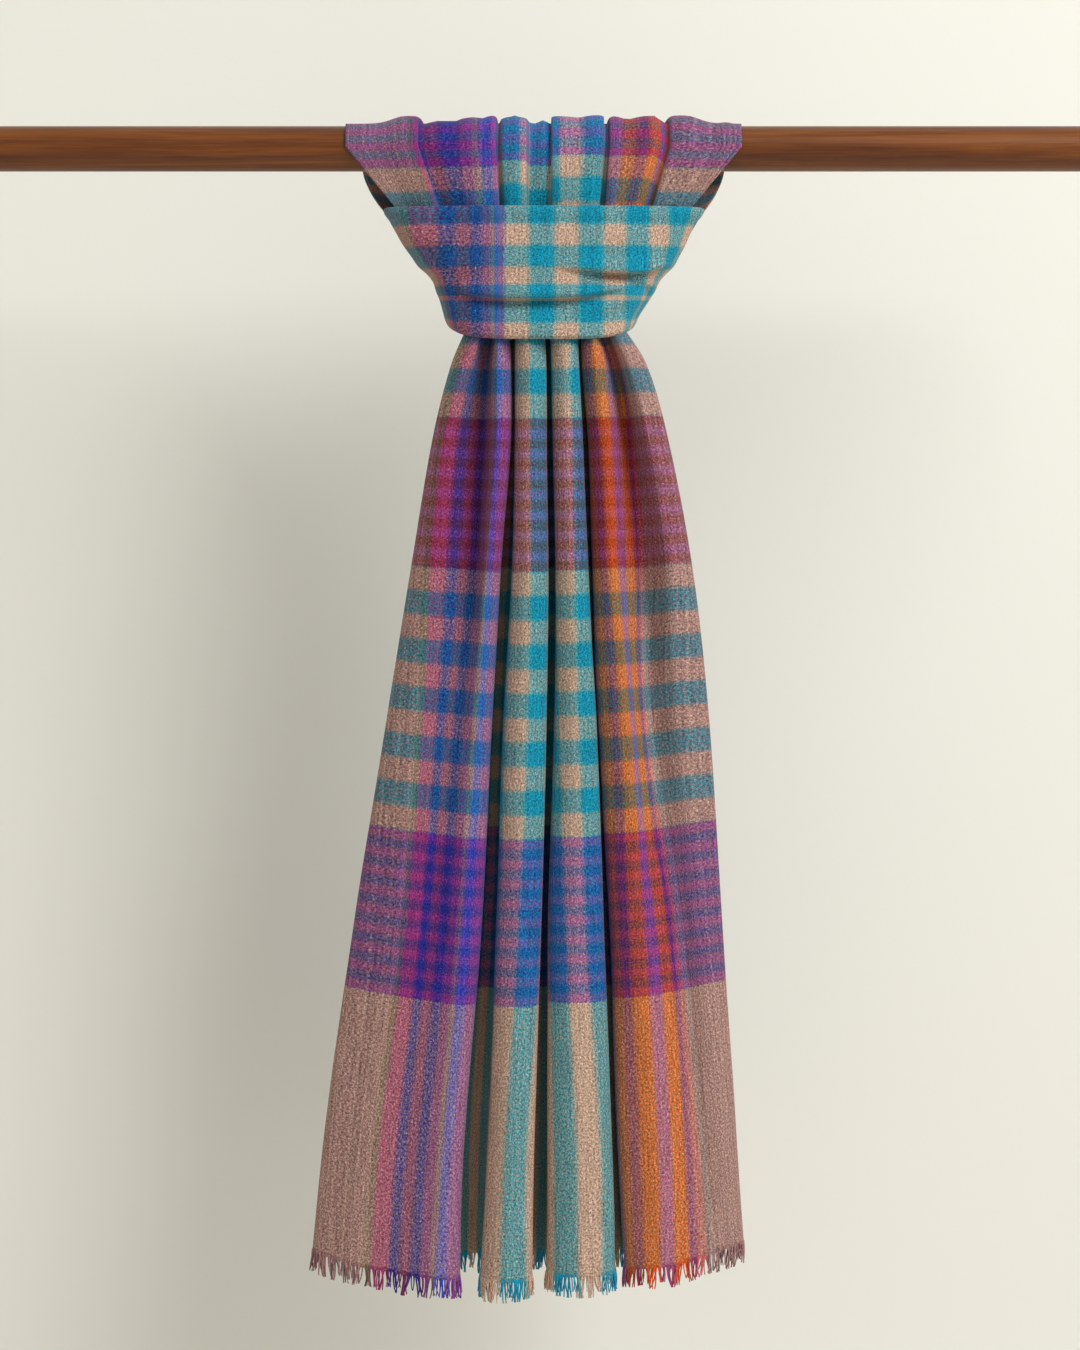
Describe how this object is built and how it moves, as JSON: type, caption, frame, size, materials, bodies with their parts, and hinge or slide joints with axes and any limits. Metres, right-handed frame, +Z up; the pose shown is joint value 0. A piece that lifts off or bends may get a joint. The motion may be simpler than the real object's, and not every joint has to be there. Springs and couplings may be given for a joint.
{
  "type": "pashmina shawl tied on a wooden rod",
  "caption": "Fringed, checked pashmina shawl hitched on a round wooden rod, its bight drawn across the front as a band and both pleated ends hanging through it.",
  "frame": {"origin": "on the rod's axis, at the middle of the cloth on it, where the rod holds the shawl", "axes": "+X along the rod to the right as seen from the front, -Y to the front, +Z up"},
  "size_m": [0.88, 0.096, 0.8889],
  "materials": {
    "rod_wood": "dark red-brown varnish, satin",
    "shawl_cloth": "soft brushed melange weave in a multicolour check",
    "fringe_yarn": "loose woollen yarn in the colours of the warp"
  },
  "bodies": {
    "root": {"rod": "rod_wood", "over_rod": "shawl_cloth", "knot_band": "shawl_cloth", "leg_left": "shawl_cloth", "leg_right": "shawl_cloth", "front_tail": "shawl_cloth", "back_tail": "shawl_cloth", "front_fringe": "fringe_yarn", "back_fringe": "fringe_yarn"}
  },
  "joints": []
}
